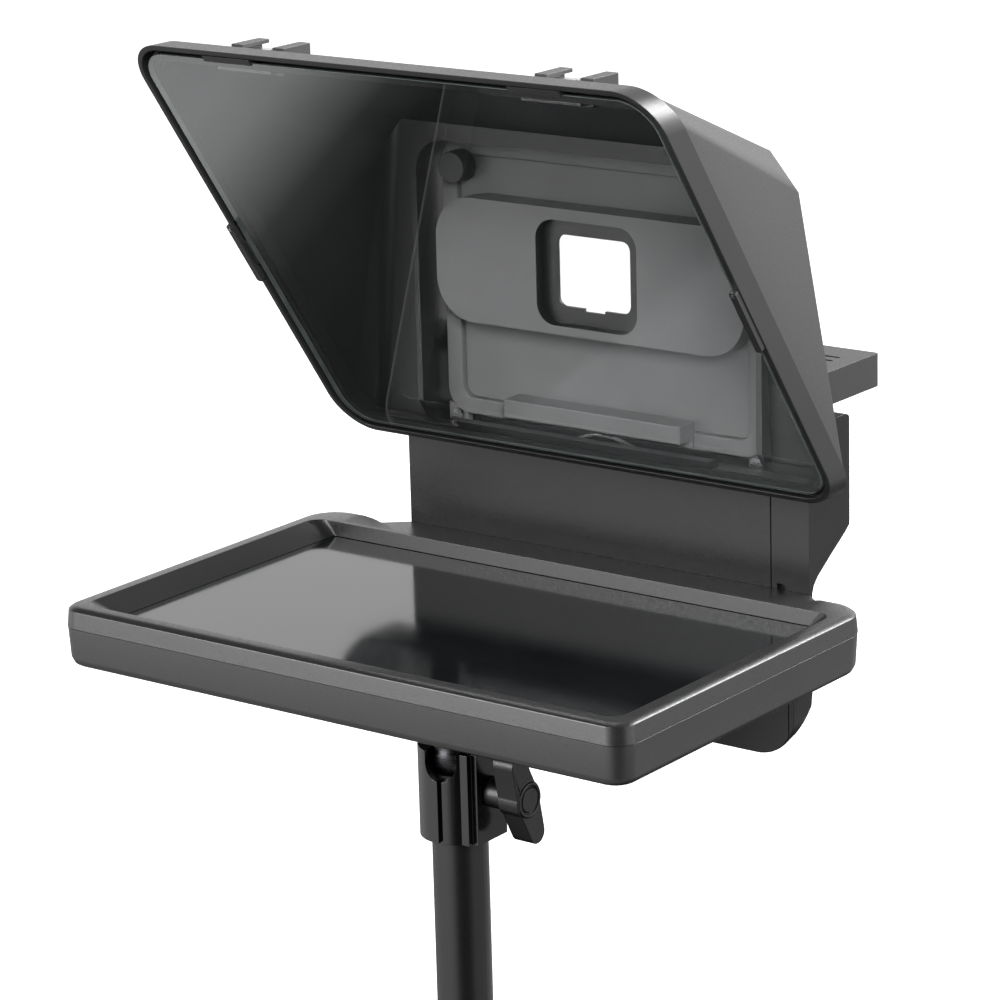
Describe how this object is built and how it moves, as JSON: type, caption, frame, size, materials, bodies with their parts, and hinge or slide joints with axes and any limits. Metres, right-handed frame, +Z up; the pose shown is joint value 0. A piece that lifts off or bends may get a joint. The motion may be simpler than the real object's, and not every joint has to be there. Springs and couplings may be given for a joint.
{
  "type": "teleprompter",
  "caption": "Desktop teleprompter: a flat screen tray under a slanted beam-splitter glass with a closed hood, a camera shelf behind it, and a ball-jointed pole.",
  "frame": {"origin": "middle of the pole's lower end", "axes": "+Z up along the pole, +Y to the back (towards the camera), +X to the reader's right"},
  "size_m": [0.23, 0.1963, 0.4625],
  "materials": {
    "tube_paint": "satin",
    "plug_metal": "satin",
    "collar_paint": "gloss",
    "knob_plastic": "matte",
    "brass": "turned",
    "steel": "turned",
    "blacked_steel": "satin",
    "rubber": "matte",
    "tray_plastic": "fine satin grain",
    "screen_glass": "polished",
    "panel": "satin",
    "board": "satin",
    "ribbon": "gloss",
    "pillar_plastic": "fine satin grain",
    "frame_plastic": "fine satin grain",
    "splitter_glass": "polished",
    "hood_plastic": "fine matte grain",
    "mount_plastic": "fine matte grain",
    "shoe_metal": "satin",
    "thumb_plastic": "satin",
    "shelf_plastic": "fine satin grain"
  },
  "bodies": {
    "stand": {"pole_tube": "tube_paint", "pole_plug": "plug_metal", "clamp_collar": "collar_paint", "ball_cup": "knob_plastic"},
    "knob": {"knob_grip": "knob_plastic", "knob_screw": "steel"},
    "ball": {"tilt_ball": "blacked_steel"},
    "neck": {"stem": "blacked_steel", "stem_screw": "blacked_steel"},
    "wheel": {"lock_wheel": "knob_plastic"},
    "head": {"stem_washer": "rubber", "stand_insert": "brass", "tray_shell": "tray_plastic", "tray_bezel": "tray_plastic", "screen_glass": "screen_glass", "display_panel": "panel", "panel_backplate": "steel", "driver_board": "board", "display_ribbon": "ribbon", "tray_screws": "steel", "pillar_core": "pillar_plastic", "pillar_front_panel": "pillar_plastic", "pillar_side_column": "pillar_plastic", "pillar_rear_cover": "pillar_plastic", "interface_board": "board", "usb_port": "steel", "pillar_screws": "steel", "glass_frame": "frame_plastic", "splitter_glass": "splitter_glass", "glass_gasket": "rubber", "bottom_retainer": "frame_plastic", "top_hooks": "frame_plastic", "clip_pins": "steel", "hood_shell": "hood_plastic", "cold_shoe_left": "shoe_metal", "cold_shoe_right": "shoe_metal", "shoe_plates": "steel", "shoe_screws": "steel", "mount_ring": "mount_plastic", "ring_screws": "steel", "backplate": "mount_plastic", "lens_gasket": "rubber", "latch_spring": "steel", "knob_inserts": "brass", "shelf_runners": "shoe_metal"},
    "latch": {"latch_tab": "mount_plastic"},
    "thumb_left": {"thumb_knob_left": "thumb_plastic"},
    "thumb_right": {"thumb_knob_right": "thumb_plastic"},
    "side_clip_left": {"clip_left": "frame_plastic"},
    "side_clip_right": {"clip_right": "frame_plastic"},
    "shelf": {"camera_shelf": "shelf_plastic", "camera_screw_washer": "rubber"},
    "screw": {"camera_screw": "steel"}
  },
  "joints": [
    {"name": "knob_turn", "type": "hinge", "parent": "stand", "child": "knob", "pos_m": [0, 0, 0.2169], "axis": [1, 0, 0], "continuous": true},
    {"name": "roll", "type": "hinge", "parent": "stand", "child": "ball", "pos_m": [0, 0, 0.2275], "axis": [-0.1564, 0.9877, 0], "range_deg": [-15, 15]},
    {"name": "tilt", "type": "hinge", "parent": "ball", "child": "neck", "pos_m": [0, 0, 0.2275], "axis": [0.9877, 0.1564, 0], "range_deg": [-15, 60]},
    {"name": "wheel_turn", "type": "hinge", "parent": "neck", "child": "wheel", "pos_m": [0, 0, 0.25], "axis": [0, 0, 1], "continuous": true},
    {"name": "pan", "type": "hinge", "parent": "neck", "child": "head", "pos_m": [0, 0, 0.257], "axis": [0, 0, 1], "continuous": true},
    {"name": "latch_slide", "type": "slide", "parent": "head", "child": "latch", "axis": [0, 0, 1], "range_m": [-0.0036, 0], "stiffness_N_per_m": 300, "springref_m": 0.004, "deforming": ["latch_spring"]},
    {"name": "thumb_left_turn", "type": "hinge", "parent": "head", "child": "thumb_left", "pos_m": [-0.057, 0.083, 0.4065], "axis": [0, 1, 0], "continuous": true},
    {"name": "thumb_right_turn", "type": "hinge", "parent": "head", "child": "thumb_right", "pos_m": [0.057, 0.083, 0.4065], "axis": [0, 1, 0], "continuous": true},
    {"name": "clip_left_turn", "type": "hinge", "parent": "head", "child": "side_clip_left", "pos_m": [-0.1022, 0.01589, 0.39305], "axis": [0, 0.8192, 0.5736], "range_deg": [0, 60]},
    {"name": "clip_right_turn", "type": "hinge", "parent": "head", "child": "side_clip_right", "pos_m": [0.1022, 0.01589, 0.39305], "axis": [0, -0.8192, -0.5736], "range_deg": [0, 60]},
    {"name": "shelf_slide", "type": "slide", "parent": "head", "child": "shelf", "axis": [0, 1, 0], "range_m": [0, 0.015]},
    {"name": "screw_turn", "type": "hinge", "parent": "shelf", "child": "screw", "pos_m": [0, 0.117, 0.3425], "axis": [0, 0, 1], "continuous": true}
  ]
}
